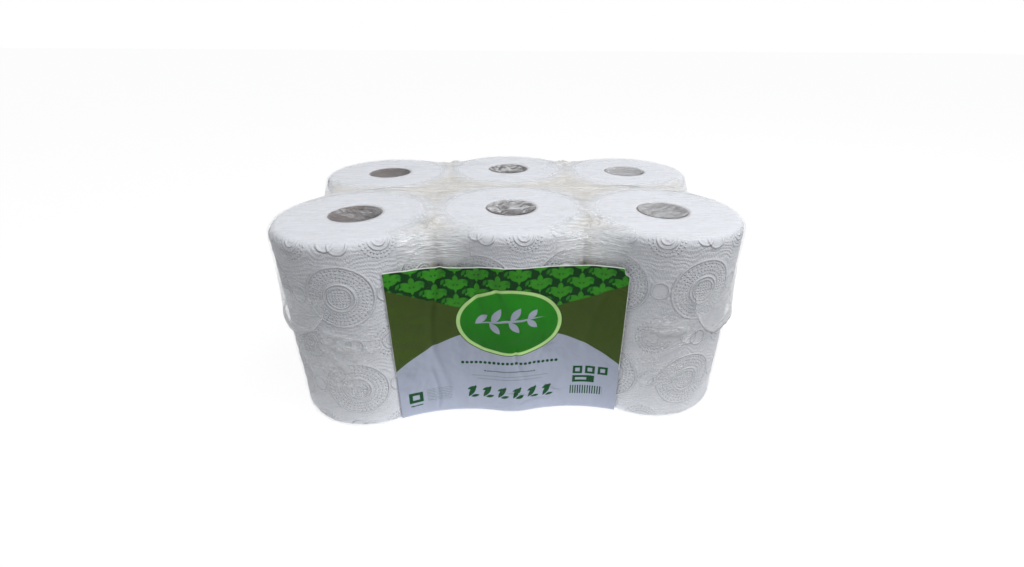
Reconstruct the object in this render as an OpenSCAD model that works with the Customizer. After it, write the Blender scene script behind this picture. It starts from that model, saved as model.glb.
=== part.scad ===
// Pack of six hand towel rolls, two rows of three, in one clear film bag with a paper label
// Millimetres, +Z up, rolls stand on end, the label faces -Y
// Origin at the middle of the pack's footprint, on the surface it stands on

/* [Rolls] */
// Outer diameter of a wound roll
roll_d = 159.6; // [130:0.1:200]
// Height of a roll, which is the width of its paper
roll_h = 210; // [170:1:260]
// Radius of the soft edge at both ends of a roll
roll_shoulder = 10; // [6:0.5:16]
// Number of turns that show as rings on a roll's ends
turn_rings = 8; // [3:1:12]
// Depth of a ring between two turns
ring_depth = 0.6; // [0.3:0.1:1]
// Width of a ring between two turns
ring_width = 1.4; // [0.8:0.1:2]

/* [Cores] */
// Inside diameter of the cardboard core
core_bore = 50; // [36:1:64]
// Wall of the cardboard core
core_wall = 1.6; // [1:0.1:3]
// How far the core's ends lie inside the roll's ends
core_recess = 0.8; // [0:0.1:3]
// Gap between the core and the paper wound on it
core_gap = 0.05; // [0.02:0.01:0.2]

/* [Arrangement] */
// How deep each roll is pressed flat by its neighbour in the row
press_depth = 1.5; // [0.5:0.1:4]
// Gap between the flats of two pressed rolls
press_gap = 0.2; // [0.1:0.05:0.6]
// Gap between the front row and the back row
row_gap = 0.4; // [0.2:0.1:3]
// How far the front middle roll stands behind its neighbours
front_set_back = 14.3; // [0:0.1:25]
// How much further back the back middle roll stands than the front one
back_extra = 3.2; // [0:0.1:10]

/* [Film bag] */
// Thickness of the film
film_wall = 0.4; // [0.2:0.05:1]
// Gap between the rolls and the film
film_gap = 0.4; // [0.4:0.05:1]
// Radius of the film's edge at the top and the base
film_shoulder = 9; // [5:0.5:14]
// Radius of the film's hollow between two rolls
hollow_r = 180; // [100:5:400]
// Diameter of the air vent in the middle of the base
vent_d = 6; // [3:0.5:12]

/* [End seals] */
// Height of the line where a seal leaves the bag
seal_root = 134; // [100:1:150]
// Length of the seal's lip, folded down over the bag
seal_drop = 23; // [10:1:40]
// How far the lip's free edge stands off the bag
seal_stand_off = 5; // [2:0.1:8]
// Thickness of the lip, two layers welded together
seal_wall = 1; // [0.5:0.1:1.5]
// How far the lip reaches along the front and the back, from the end of the bag
seal_reach = 64; // [40:1:100]
// Length over which the lip rises from the bag to its full size
seal_rise = 16; // [6:1:30]

/* [Label] */
// Width of the label
label_w = 228; // [120:1:260]
// Sideways place of the label's middle
label_x = -4.5; // [-20:0.5:20]
// Height of the label's top edge
label_top = 178; // [80:1:195]
// Thickness of the label's paper
label_wall = 0.2; // [0.1:0.05:0.2]
// Gap on each face of the label
label_gap = 0.1; // [0.05:0.01:0.1]
// How far the label follows the bag round the front edge of the base
label_tuck = 67.5; // [0:22.5:67.5]

/* [Hidden] */
$fn = 96;

roll_r = roll_d / 2;
core_r = core_bore / 2 + core_wall;
roll_base = film_wall;

// Neighbours in a row stand this far apart, centre to centre
near = roll_d - 2 * press_depth;
back_set_back = front_set_back + back_extra;
row_pitch = roll_d + row_gap;
front_side_x = sqrt(near * near - front_set_back * front_set_back);
back_side_x = sqrt(near * near - back_set_back * back_set_back);

// The front row's outer centres lie on this line, which centres the footprint on the origin
front_y = -(row_pitch + back_set_back) / 2;
back_y = front_y + row_pitch;
front_left = [-front_side_x, front_y];
front_middle = [0, front_y + front_set_back];
front_right = [front_side_x, front_y];
back_left = [-back_side_x, back_y];
back_middle = [0, back_y + back_set_back];
back_right = [back_side_x, back_y];

// Outside radius of the film round a roll, and the whole height of the bag
film_r = roll_r + film_gap + film_wall;
film_h = roll_h + film_gap + 2 * film_wall;

// Rolls in the order in which the film goes round them, seen from above against the clock
round_pack = [front_left, front_middle, front_right, back_right, back_middle, back_left];
convex_step = 6;
hollow_step = 4;
edge_steps = 4;
label_columns = 48;

// Angle of a direction, and the same angle taken after or before another one
function heading(v) = atan2(v.y, v.x);
function turn_up(from, to) = from + ((to - from) % 360 + 360) % 360;
function turn_down(from, to) = from - ((from - to) % 360 + 360) % 360;

// Centre of the hollow arc that touches the film round roll a and round roll b
function hollow_centre(a, b) =
    let (along = (b - a) / norm(b - a),
         out = [along.y, -along.x],
         rise = sqrt(pow(film_r + hollow_r, 2) - pow(norm(b - a) / 2, 2)))
    (a + b) / 2 + out * rise;

hollows = [
    for (k = [0:5]) hollow_centre(round_pack[k], round_pack[(k + 1) % 6])
];

// A station is the centre of its arc, 1 round a roll or -1 in a hollow, and its angle
function roll_stations(k) =
    let (c = round_pack[k],
         from = heading(hollows[(k + 5) % 6] - c),
         to = turn_up(from, heading(hollows[k] - c)),
         steps = ceil((to - from) / convex_step))
    [for (i = [0:steps - 1]) [c, 1, from + (to - from) * i / steps]];

function hollow_stations(k) =
    let (g = hollows[k],
         from = heading(round_pack[k] - g),
         to = turn_down(from, heading(round_pack[(k + 1) % 6] - g)),
         steps = ceil((from - to) / hollow_step))
    [for (i = [0:steps - 1]) [g, -1, from + (to - from) * i / steps]];

stations = [
    for (k = [0:5]) each concat(roll_stations(k), hollow_stations(k))
];

// Point at a station, moved in from the film's outside by inset
function on_bag(s, inset, z) =
    let (r = s[1] > 0 ? film_r - inset : hollow_r + inset,
         p = s[0] + r * [cos(s[2]), sin(s[2])])
    [p.x, p.y, z];

// Inset and height of a point on the rounded edge of the base, r from the edge's centre
function base_edge(r, a) = [film_shoulder - r * cos(a), film_shoulder - r * sin(a)];
function top_edge(r, a) = [film_shoulder - r * cos(a), film_h - film_shoulder + r * sin(a)];
edge_angles = [for (i = [0:edge_steps]) 90 * i / edge_steps];

// Closed solid through rings of equally many points, from the lowest ring to the highest
module ring_solid(rings) {
    n = len(rings[0]);
    last = len(rings) - 1;
    sides = [
        for (j = [0:last - 1], i = [0:n - 1])
            let (k = (i + 1) % n) [j * n + i, (j + 1) * n + i, (j + 1) * n + k, j * n + k]
    ];
    base = [[for (i = [0:n - 1]) i]];
    top = [[for (i = [n - 1:-1:0]) last * n + i]];
    polyhedron(points = [for (ring = rings) each ring], faces = concat(sides, base, top));
}

// Closed sheet between an outer and an inner grid of points with the same rows and columns
module sheet_solid(outer, inner) {
    rows = len(outer);
    cols = len(outer[0]);
    all_outer = rows * cols;
    function at(side, j, i) = side * all_outer + j * cols + i;
    rim = concat(
        [for (i = [0:cols - 1]) [0, i]],
        [for (j = [1:rows - 1]) [j, cols - 1]],
        [for (i = [cols - 2:-1:0]) [rows - 1, i]],
        [for (j = [rows - 2:-1:1]) [j, 0]]
    );
    m = len(rim);
    faces = concat(
        [for (j = [0:rows - 2], i = [0:cols - 2])
            [at(0, j, i), at(0, j + 1, i), at(0, j + 1, i + 1), at(0, j, i + 1)]],
        [for (j = [0:rows - 2], i = [0:cols - 2])
            [at(1, j, i), at(1, j, i + 1), at(1, j + 1, i + 1), at(1, j + 1, i)]],
        [for (e = [0:m - 1])
            let (a = rim[e], b = rim[(e + 1) % m])
            [at(0, a[0], a[1]), at(0, b[0], b[1]), at(1, b[0], b[1]), at(1, a[0], a[1])]]
    );
    polyhedron(points = concat([for (r = outer) each r], [for (r = inner) each r]), faces = faces);
}

// Half section of a roll, with its soft edges and the rings between its turns
module roll_section() {
    inside = core_r + core_gap;
    pitch = (roll_r - roll_shoulder - inside) / turn_rings;
    difference() {
        union() {
            translate([inside, 0]) square([roll_r - roll_shoulder - inside, roll_h]);
            translate([inside, roll_shoulder])
                square([roll_r - inside, roll_h - 2 * roll_shoulder]);
            for (z = [roll_shoulder, roll_h - roll_shoulder])
                translate([roll_r - roll_shoulder, z]) circle(r = roll_shoulder);
        }
        for (i = [1:turn_rings], z = [0, roll_h])
            translate([inside + i * pitch, z])
                polygon([[-ring_width / 2, 0], [0, -ring_depth], [ring_width / 2, 0], [0, ring_depth]]);
    }
}

// Roll at a place, pressed flat towards each neighbour that stands nearer than its diameter
module roll(at, neighbours) {
    color("white")
        difference() {
            translate([at.x, at.y, roll_base]) rotate_extrude() roll_section();
            for (other = neighbours)
                translate([at.x, at.y, 0])
                    rotate([0, 0, heading(other - at)])
                        translate([norm(other - at) / 2 - press_gap / 2, -roll_d, 0])
                            cube([roll_d, 2 * roll_d, film_h]);
        }
}

// Cardboard tube in the middle of a roll
module core(at) {
    color("burlywood")
        translate([at.x, at.y, roll_base + core_recess])
            difference() {
                cylinder(r = core_r, h = roll_h - 2 * core_recess);
                translate([0, 0, -1]) cylinder(d = core_bore, h = roll_h + 2);
            }
}

// Depth of the film's front face at a sideways place x, moved in by inset
function on_roll(c, x, inset) = c.y - sqrt(pow(film_r - inset, 2) - pow(x - c.x, 2));
function in_hollow(g, x, inset) = g.y + sqrt(pow(hollow_r + inset, 2) - pow(x - g.x, 2));
function touch_x(c, g, inset) = c.x + (film_r - inset) * (g.x - c.x) / norm(g - c);
function front_depth(x, inset) =
    x < touch_x(front_left, hollows[0], inset) ? on_roll(front_left, x, inset)
    : x < touch_x(front_middle, hollows[0], inset) ? in_hollow(hollows[0], x, inset)
    : x < touch_x(front_middle, hollows[1], inset) ? on_roll(front_middle, x, inset)
    : x < touch_x(front_right, hollows[1], inset) ? in_hollow(hollows[1], x, inset)
    : on_roll(front_right, x, inset);

// One face of the label, inset from the bag's inner face by the gap and more
function label_face(more) =
    let (r = film_shoulder - film_wall - label_gap - more,
         turns = round(label_tuck / 90 * edge_steps),
         edge = [for (i = [turns:-1:0]) base_edge(r, 90 * i / edge_steps)],
         section = concat(edge, [[edge[turns][0], label_top]]))
    [for (s = section)
        [for (i = [0:label_columns])
            let (x = label_x + label_w * (i / label_columns - 0.5))
            [x, front_depth(x, s[0]), s[1]]]];

// Printed paper sheet between the front rolls and the film
module label() {
    color("forestgreen") sheet_solid(label_face(0), label_face(label_wall));
}

// Share of its full size that a seal's lip has at a station, from 0 to 1
end_x = front_side_x + film_r;
function lip_share(s) =
    let (into = (abs(on_bag(s, 0, 0).x) - end_x + seal_reach) / seal_rise,
         t = min(max(into, 0), 1))
    t * t * (3 - 2 * t);

// Lip section from its root below to its root above: flat on the wall, and folded down
lip_flat = [for (k = [0:5]) [0, seal_root + seal_wall * (2 * k / 5 - 1)]];
lip_folded = [
    lip_flat[0],
    [-0.5 * seal_stand_off, seal_root - 0.5 * seal_drop],
    [seal_wall - seal_stand_off, seal_root - seal_drop],
    [-seal_stand_off, seal_root - seal_drop],
    [-0.5 * seal_stand_off - seal_wall, seal_root - 0.4 * seal_drop],
    lip_flat[5]
];

// Rings of points round the bag: one skin's base and sides, and one ring of its vent
function edge_ring(e) = [for (s = stations) on_bag(s, e[0], e[1])];
function lip_ring(k) = [
    for (s = stations)
        let (e = lip_flat[k] + (lip_folded[k] - lip_flat[k]) * lip_share(s))
        on_bag(s, e[0], e[1])
];
function vent_ring(z) = [
    for (s = stations)
        let (p = on_bag(s, 0, 0), v = p * vent_d / 2 / norm(p)) [v.x, v.y, z]
];

// Clear film bag round the whole pack, with a folded seal at both ends and a vent in its base
module film_bag() {
    inner_r = film_shoulder - film_wall;
    inside = concat(
        [for (a = edge_angles) edge_ring(top_edge(inner_r, 90 - a))],
        [for (a = edge_angles) edge_ring(base_edge(inner_r, a))],
        [vent_ring(film_wall)]
    );
    outside = concat(
        [vent_ring(0)],
        [for (a = edge_angles) edge_ring(base_edge(film_shoulder, 90 - a))],
        [for (k = [0:5]) lip_ring(k)],
        [for (a = edge_angles) edge_ring(top_edge(film_shoulder, a))]
    );
    color([0.85, 0.92, 1, 0.3]) ring_solid(concat(inside, outside));
}

roll(front_left, [front_middle]);  // roll_front_left
roll(front_middle, [front_left, front_right]);  // roll_front_middle
roll(front_right, [front_middle]);  // roll_front_right
roll(back_left, [back_middle]);  // roll_back_left
roll(back_middle, [back_left, back_right]);  // roll_back_middle
roll(back_right, [back_middle]);  // roll_back_right
core(front_left);  // core_front_left
core(front_middle);  // core_front_middle
core(front_right);  // core_front_right
core(back_left);  // core_back_left
core(back_middle);  // core_back_middle
core(back_right);  // core_back_right
label();
film_bag();
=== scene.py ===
import functools
import itertools
import math
import operator
import random

import bmesh
import bpy
import numpy as np
from mathutils import Matrix, Vector


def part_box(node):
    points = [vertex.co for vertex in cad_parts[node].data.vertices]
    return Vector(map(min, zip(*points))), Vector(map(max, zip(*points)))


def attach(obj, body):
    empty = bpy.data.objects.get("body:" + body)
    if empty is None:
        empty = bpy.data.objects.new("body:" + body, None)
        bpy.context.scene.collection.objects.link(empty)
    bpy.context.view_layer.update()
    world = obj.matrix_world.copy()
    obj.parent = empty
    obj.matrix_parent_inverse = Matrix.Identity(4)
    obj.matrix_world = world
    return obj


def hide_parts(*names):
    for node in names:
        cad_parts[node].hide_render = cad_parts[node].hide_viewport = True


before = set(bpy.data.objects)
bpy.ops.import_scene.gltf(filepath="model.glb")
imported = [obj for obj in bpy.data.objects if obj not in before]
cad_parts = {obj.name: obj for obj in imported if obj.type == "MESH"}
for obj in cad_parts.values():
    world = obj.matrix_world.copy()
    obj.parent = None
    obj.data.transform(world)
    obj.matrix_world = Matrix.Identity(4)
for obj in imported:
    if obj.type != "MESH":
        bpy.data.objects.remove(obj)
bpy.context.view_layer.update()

mm = 0.001

# Places of the rolls, in the order in which the film goes round them, seen from above
places = ["front_left", "front_middle", "front_right", "back_right", "back_middle", "back_left"]


def axisOf(place):
    low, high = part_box("core_" + place)
    middle = (low + high) / 2
    return np.array([middle.x, middle.y])


axes = {place: axisOf(place) for place in places}
rollLow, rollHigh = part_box("roll_front_left")
coreLow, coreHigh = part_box("core_front_left")
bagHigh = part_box("film_bag")[1]
labelLow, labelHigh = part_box("label")
rollRadius = (rollHigh.y - rollLow.y) / 2
coreRadius = (coreHigh.x - coreLow.x) / 2
bagRadius = bagHigh.y - axes["back_middle"][1]


# Camera, fitted to the photograph

cameraFit = {
    "place": (-0.0095, -0.5242, 0.3630),
    "pitch": 26.183,  # degrees below the horizon
    "yaw": 2.849,  # degrees to the right of straight ahead
    "roll": 0.355,
    "lens": 15.856,
    "shift": (-0.01063, -0.01723),
}


def addCamera(fit):
    data = bpy.data.cameras.new("camera")
    data.lens = fit["lens"]
    data.sensor_width = 36
    data.shift_x, data.shift_y = fit["shift"]
    data.clip_start, data.clip_end = 0.02, 50
    camera = bpy.data.objects.new("camera", data)
    bpy.context.collection.objects.link(camera)
    turn = (
        Matrix.Rotation(-math.radians(fit["yaw"]), 4, "Z")
        @ Matrix.Rotation(math.radians(90 - fit["pitch"]), 4, "X")
        @ Matrix.Rotation(math.radians(fit["roll"]), 4, "Z")
    )
    camera.matrix_world = Matrix.Translation(fit["place"]) @ turn
    bpy.context.scene.camera = camera


addCamera(cameraFit)


# Helpers for meshes


def smoothStep(low, high, x):
    t = np.clip((x - low) / (high - low), 0, 1)
    return t * t * (3 - 2 * t)


def addWall(piece, thickness, offset):
    wall = piece.modifiers.new("wall", "SOLIDIFY")
    wall.thickness, wall.offset = thickness, offset


def addPiece(name, mesh, node, material):
    piece = bpy.data.objects.new(name, mesh)
    bpy.context.collection.objects.link(piece)
    mesh.materials.append(material)
    mesh.shade_smooth()
    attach(piece, "root")
    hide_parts(node)
    return piece


def readPoints(mesh):
    flat = np.empty(len(mesh.vertices) * 3)
    mesh.vertices.foreach_get("co", flat)
    return flat.reshape(-1, 3)


def writePoints(mesh, points):
    mesh.vertices.foreach_set("co", np.ascontiguousarray(points, dtype=float).ravel())
    mesh.update()


def writeValues(mesh, **columns):
    for name, values in columns.items():
        layer = mesh.attributes.new(name, "FLOAT", "POINT")
        layer.data.foreach_set("value", np.ascontiguousarray(values, dtype=float))


def writeUv(mesh, name, perCorner):
    layer = mesh.uv_layers.new(name=name)
    layer.data.foreach_set("uv", np.ascontiguousarray(perCorner, dtype=float).ravel())


def cornerVertices(mesh):
    corners = np.empty(len(mesh.loops), dtype=int)
    mesh.loops.foreach_get("vertex_index", corners)
    return corners


def closeSeam(mesh):
    # Joins the first station to the last, and fills the gap left at the spine
    bm = bmesh.new()
    bm.from_mesh(mesh)
    bmesh.ops.remove_doubles(bm, verts=bm.verts, dist=0.01 * mm)
    bmesh.ops.holes_fill(bm, edges=bm.edges, sides=0)
    bm.to_mesh(mesh)
    bm.free()


def gridMesh(name, columns, rows):
    # A flat grid, and the column and the row of each vertex
    bm = bmesh.new()
    bmesh.ops.create_grid(bm, x_segments=columns, y_segments=rows, size=0.5)
    mesh = bpy.data.meshes.new(name)
    bm.to_mesh(mesh)
    bm.free()
    points = readPoints(mesh)
    column = np.rint((points[:, 0] - points[:, 0].min()) / np.ptp(points[:, 0]) * columns)
    row = np.rint((points[:, 1] - points[:, 1].min()) / np.ptp(points[:, 1]) * rows)
    return mesh, column.astype(int), row.astype(int)


def softNoise(points, scale, seed):
    # Smooth noise between -1 and 1, from a hash of the corners of the cube that each point is in
    p = points * scale
    base = np.floor(p)
    share = p - base
    share = share * share * (3 - 2 * share)
    total = np.zeros(len(p))
    for corner in itertools.product((0, 1), repeat=3):
        spot = base + corner
        hashed = np.sin(spot @ np.array([127.1, 311.7, 74.7]) + seed * 57.3) * 43758.5453
        total += (hashed - np.floor(hashed)) * np.prod(np.where(corner, share, 1 - share), axis=1)
    return 2 * total - 1


def turnedMesh(name, points, spacings, steps):
    # Spins a closed profile round the Z axis, with each of its stretches cut to its spacing
    bm = bmesh.new()
    verts = [bm.verts.new((r, 0, z)) for r, z in points]
    edges = [bm.edges.new((verts[i], verts[(i + 1) % len(verts)])) for i in range(len(verts))]
    for edge, spacing in zip(edges, spacings):
        cuts = int(edge.calc_length() / spacing)
        if cuts > 0:
            bmesh.ops.subdivide_edges(bm, edges=[edge], cuts=cuts)
    bmesh.ops.spin(
        bm, geom=bm.verts[:] + bm.edges[:], cent=(0, 0, 0), axis=(0, 0, 1),
        angle=2 * math.pi, steps=steps, use_merge=True,
    )
    bmesh.ops.remove_doubles(bm, verts=bm.verts, dist=0.001 * mm)
    bmesh.ops.recalc_face_normals(bm, faces=bm.faces)
    mesh = bpy.data.meshes.new(name)
    bm.to_mesh(mesh)
    bm.free()
    return mesh


def wrapUv(mesh, aroundCells, heightUnit, phase=0.0):
    # Unrolls a turned mesh: cells round the axis across, height up, with no face across the seam
    points = readPoints(mesh)
    corners = cornerVertices(mesh)
    turn = np.arctan2(points[:, 1], points[:, 0])[corners].reshape(-1, 4)
    turn[(np.ptp(turn, axis=1) > math.pi)[:, None] & (turn < 0)] += 2 * math.pi
    across = turn.ravel() / (2 * math.pi) * aroundCells + phase
    writeUv(mesh, "unrolled", np.column_stack([across, points[corners, 2] / heightUnit]))


def roundCorner(centre, radius, start, end, segments):
    # Points of an arc in a profile, angles in degrees
    turns = np.radians(np.linspace(start, end, segments + 1))
    return [(centre[0] + radius * math.cos(a), centre[1] + radius * math.sin(a)) for a in turns]


# Helpers for materials


def linear(r, g, b, light=1.0):
    # A colour as read off a screen, made linear, over the share of light that fell on it
    def one(v):
        v = v / 255
        return v / 12.92 if v <= 0.04045 else ((v + 0.055) / 1.055) ** 2.4

    return tuple(min(one(v) / light, 0.95) for v in (r, g, b)) + (1,)


class Wire:
    # What comes out of a node, so that sums and products of it make the nodes for them
    def __init__(self, socket):
        self.socket = socket

    def __add__(self, other):
        return combine("ADD", self, other)

    def __radd__(self, other):
        return combine("ADD", other, self)

    def __sub__(self, other):
        return combine("SUBTRACT", self, other)

    def __rsub__(self, other):
        return combine("SUBTRACT", other, self)

    def __mul__(self, other):
        return combine("MULTIPLY", self, other)

    def __rmul__(self, other):
        return combine("MULTIPLY", other, self)

    def __truediv__(self, other):
        return combine("DIVIDE", self, other)


def plug(value, socket):
    if isinstance(value, Wire):
        value = value.socket
    if isinstance(value, bpy.types.NodeSocket):
        socket.id_data.links.new(value, socket)
    else:
        socket.default_value = value


def treeOf(values):
    return next(v.socket.id_data for v in values if isinstance(v, Wire))


def newNode(tree, kind, **inputs):
    node = tree.nodes.new("ShaderNode" + kind)
    for label, value in inputs.items():
        plug(value, node.inputs[label.replace("_", " ")])
    return node


def nodeAfter(kind, *values):
    # A node in the values' own tree, with the values on its first inputs
    node = newNode(treeOf(values), kind)
    for value, socket in zip(values, node.inputs):
        plug(value, socket)
    return node


def calc(operation, *values, clamp=False):
    node = nodeAfter("Math", *values)
    node.operation = operation
    node.use_clamp = clamp
    return Wire(node.outputs[0])


def vectorCalc(operation, *values):
    node = nodeAfter("VectorMath", *values)
    node.operation = operation
    return Wire(node.outputs["Value" if operation == "LENGTH" else "Vector"])


def combine(operation, *values):
    isVector = any(isinstance(v, Wire) and v.socket.type == "VECTOR" for v in values)
    return (vectorCalc if isVector else calc)(operation, *values)


def clamped(wire):
    wire.socket.node.use_clamp = True
    return wire


def ramp(x, slope, offset):
    # A straight line, kept between 0 and 1
    return calc("MULTIPLY_ADD", x, slope, offset, clamp=True)


def wave(kind, x, pitch):
    # A sine or cosine wave along x
    return calc(kind, x * (2 * math.pi / pitch))


def turnFlat(vector, angle):
    node = nodeAfter("VectorRotate", vector)
    node.rotation_type = "Z_AXIS"
    plug(angle, node.inputs["Angle"])
    return Wire(node.outputs[0])


def addAll(values):
    return functools.reduce(operator.add, values)


def split(vector):
    return {s.name: Wire(s) for s in nodeAfter("SeparateXYZ", vector).outputs}


def join(x, y):
    return Wire(nodeAfter("CombineXYZ", x, y).outputs[0])


def mixColour(share, first, second):
    node = nodeAfter("Mix", share)
    node.data_type = "RGBA"
    for colour, socket in zip((first, second), [s for s in node.inputs if s.type == "RGBA"]):
        plug(colour, socket)
    return Wire([s for s in node.outputs if s.type == "RGBA"][0])


def noiseNode(vector, scale, detail=2.0, roughness=0.5, distortion=0.0):
    node = nodeAfter("TexNoise", vector)
    for label, value in zip(("Scale", "Detail", "Roughness", "Distortion"),
                            (scale, detail, roughness, distortion)):
        node.inputs[label].default_value = value
    return Wire(node.outputs["Fac"])


def ridge(noise, sharpness):
    # Thin lines where the noise passes its middle
    return ramp(calc("ABSOLUTE", noise - 0.5), -sharpness, 1.0)


def band(x, low, high, soft):
    # 1 between low and high, with soft edges
    return ramp(x - low, 1 / soft, 0.5) * ramp(high - x, 1 / soft, 0.5)


def newGroup(name, inputs, outputs):
    kinds = {"Vector": "Vector", "Place": "Vector", "Color": "Color"}
    group = bpy.data.node_groups.new(name, "ShaderNodeTree")
    for way, labels in (("INPUT", inputs), ("OUTPUT", outputs)):
        for label in labels:
            kind = "NodeSocket" + kinds.get(label, "Float")
            group.interface.new_socket(name=label, in_out=way, socket_type=kind)
    given = group.nodes.new("NodeGroupInput").outputs
    return group, {s.name: Wire(s) for s in given}, group.nodes.new("NodeGroupOutput").inputs


def useGroup(group, **values):
    node = newNode(treeOf(values.values()), "Group")
    node.node_tree = group
    for label, value in values.items():
        plug(value, node.inputs[label])
    return {s.name: Wire(s) for s in node.outputs}


def newMaterial(name):
    material = bpy.data.materials.new(name)
    material.use_nodes = True
    tree = material.node_tree
    tree.nodes.clear()
    return material, tree, newNode(tree, "OutputMaterial")


def outputOf(tree, kind, label):
    return Wire(newNode(tree, kind).outputs[label])


def principled(out, colour, roughness, **more):
    shader = newNode(out.id_data, "BsdfPrincipled", Base_Color=colour, Roughness=roughness, **more)
    plug(shader.outputs[0], out.inputs["Surface"])


def newBump(height, distance):
    bump = newNode(treeOf([height]), "Bump", Height=height, Distance=distance)
    return Wire(bump.outputs["Normal"])


def objectPoint(tree):
    return outputOf(tree, "TexCoord", "Object")


def uvOf(tree, name):
    uv = outputOf(tree, "UVMap", "UV")
    uv.socket.node.uv_map = name
    return uv


def attributeOf(tree, name):
    value = outputOf(tree, "Attribute", "Fac")
    value.socket.node.attribute_name = name
    return value


# Outline of the film bag, as arcs round the rolls and hollows between them

bag = {
    "hollow": 0.180,  # radius of the film between two rolls
    "shoulder": 0.009,
    "topSlack": 0.021,  # how much rounder the top edge is in a hollow
    "baseSlack": 0.008,
    "step": 0.0026,
    "sideRows": 64,
    "edgeRows": 8,
    "topRows": 54,
    "baseRows": 8,
    "spine": 0.150,
    "ripple": 0.0007,
    "gapSag": 0.0025,
    "spineSag": 0.0006,
    "mouthSag": 0.0035,
    "mouthCrumple": 0.008,
    "follow": 0.6,  # share of the label's dents that the film over it takes
    "mostShine": 0.32,
    "mostHaze": 0.92,
    "glow": 0.8,  # share of the hidden light that reaches what is behind the film
    "ior": 1.12,  # lower than that of solid film, since most of it lies against paper
    "coolHaze": (0.90, 0.92, 0.955, 1),
    # painted light: warm tint of the film over the gaps between rolls, for the light that bounces
    # in them
    "warmHaze": (0.89, 0.87, 0.84, 1),
}


def arcRows(centre, radius, bend, before, after, step):
    # Stations from facing one point to facing the next: centre, bend, angle, how deep in a hollow
    start = math.atan2(*(before - centre)[::-1])
    turn = (math.atan2(*(after - centre)[::-1]) - start) % (2 * math.pi)
    if bend < 0:
        turn -= 2 * math.pi
    count = max(int(abs(turn) * radius / step), 2)
    deep = [math.sin(math.pi * i / count) ** 2 * (bend < 0) for i in range(count)]
    return [(centre[0], centre[1], bend, start + turn * i / count, deep[i]) for i in range(count)]


def bagOutline(step):
    centres = [axes[p] for p in places]
    hollows = []
    for a, b in zip(centres, centres[1:] + centres[:1]):
        gap = np.linalg.norm(b - a)
        along = (b - a) / gap
        rise = math.sqrt((bagRadius + bag["hollow"]) ** 2 - (gap / 2) ** 2)
        hollows.append((a + b) / 2 + np.array([along[1], -along[0]]) * rise)

    rows = []
    for k, centre in enumerate(centres):
        following = centres[(k + 1) % len(centres)]
        rows += arcRows(centre, bagRadius, 1, hollows[k - 1], hollows[k], step)
        rows += arcRows(hollows[k], bag["hollow"], -1, centre, following, step)
    return np.array(rows + rows[:1])


def outlinePoint(rows, inset):
    # Points on the outline moved in by inset, and the directions out of the bag there
    radius = np.where(rows[:, 2] > 0, bagRadius - inset, bag["hollow"] + inset)
    away = np.column_stack([np.cos(rows[:, 3]), np.sin(rows[:, 3])])
    return rows[:, :2] + radius[:, None] * away, away * rows[:, 2:3]


outline = bagOutline(bag["step"])
outlineXy = outlinePoint(outline, 0)[0]
outlineRun = np.concatenate([[0], np.cumsum(np.linalg.norm(np.diff(outlineXy, axis=0), axis=1))])


def runAt(x, back=False):
    # Length along the outline to the point of its front, or its back, that lies at sideways place x
    wanted = outlineXy[:, 1] > 0 if back else outlineXy[:, 1] < axes["front_left"][1]
    return outlineRun[np.argmin(np.abs(outlineXy[:, 0] - x) + ~wanted * 10)]


# Creases of the film and the label: each has a start, a heading in degrees, a length, a width
# and a height


def fan(rng, start, heading, spread, count, lengths, width, height, jitter=0.004):
    creases = []
    for _ in range(count):
        turn = heading + rng.uniform(-spread, spread)
        x = start[0] + rng.uniform(-jitter, jitter)
        y = start[1] + rng.uniform(-jitter, jitter)
        length = rng.uniform(*lengths)
        wide, tall = width * rng.uniform(0.7, 1.3), height * rng.uniform(0.5, 1.2)
        creases.append((x, y, turn, length, wide, tall))
    return creases


def creaseHeight(creases, px, py):
    total = np.zeros(len(px))
    for x, y, turn, length, width, height in creases:
        turn = math.radians(turn)
        dx, dy = px - x, py - y
        along = (dx * math.cos(turn) + dy * math.sin(turn)) / length
        off = dy * math.cos(turn) - dx * math.sin(turn)
        off = off - 0.06 * length * np.sin(along * 5 + x * 900)
        fade = np.clip(1.15 - along, 0, 1) * smoothStep(-0.12, 0.08, along)
        spread = width * (0.6 + 0.8 * np.clip(along, 0, 1))
        total = total + height * np.exp(-((off / spread) ** 2)) * fade
    return total


# Shape of the label, which the rolls behind it and the film over it follow

label = {
    "columns": 190,
    "rows": 150,
    "inset": 0.00052,  # behind the film's outer face
    "wall": 0.00012,
    "centre": -0.0045,
    "tuck": 72.0,  # degrees round the edge of the base
    "dent": 0.0011,
    "uneven": 0.0008,
    "tear": 0.007,  # at the right end of the top edge
    "press": 1.5,  # how much deeper the creases are pressed than listed
}
labelWidth = labelHigh.x - labelLow.x
labelTop = labelHigh.z
labelTuckRun = math.radians(label["tuck"]) * bag["shoulder"]


def frontAt(x, inset):
    # Depth of the front of the outline at sideways places x, moved in by inset
    front = outlineXy[:, 1] < axes["front_left"][1]
    order = np.argsort(outlineXy[front, 0])
    xs, ys = outlineXy[front, 0][order], outlineXy[front, 1][order]
    slope = np.gradient(ys, xs)
    return np.interp(x, xs, ys) + inset * np.sqrt(1 + np.interp(x, xs, slope) ** 2)


labelCreases = [
    (-0.074, 0.178, -88, 0.180, 0.0040, 0.0020),
    (-0.086, 0.012, 84, 0.095, 0.0030, 0.0012),
    (-0.031, 0.172, -89, 0.085, 0.0055, 0.0018),
    (-0.015, 0.160, -88, 0.075, 0.0050, 0.0014),
    (0.038, 0.090, -126, 0.032, 0.0022, 0.0014),
    (-0.006, 0.028, -10, 0.045, 0.0022, 0.0014),
    (0.008, 0.012, 20, 0.045, 0.0024, 0.0014),
    (0.004, 0.086, -84, 0.050, 0.0026, 0.0010),
    (0.050, 0.030, 160, 0.040, 0.0022, 0.0010),
    (0.086, 0.170, -92, 0.150, 0.0055, 0.0012),
]


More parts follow.
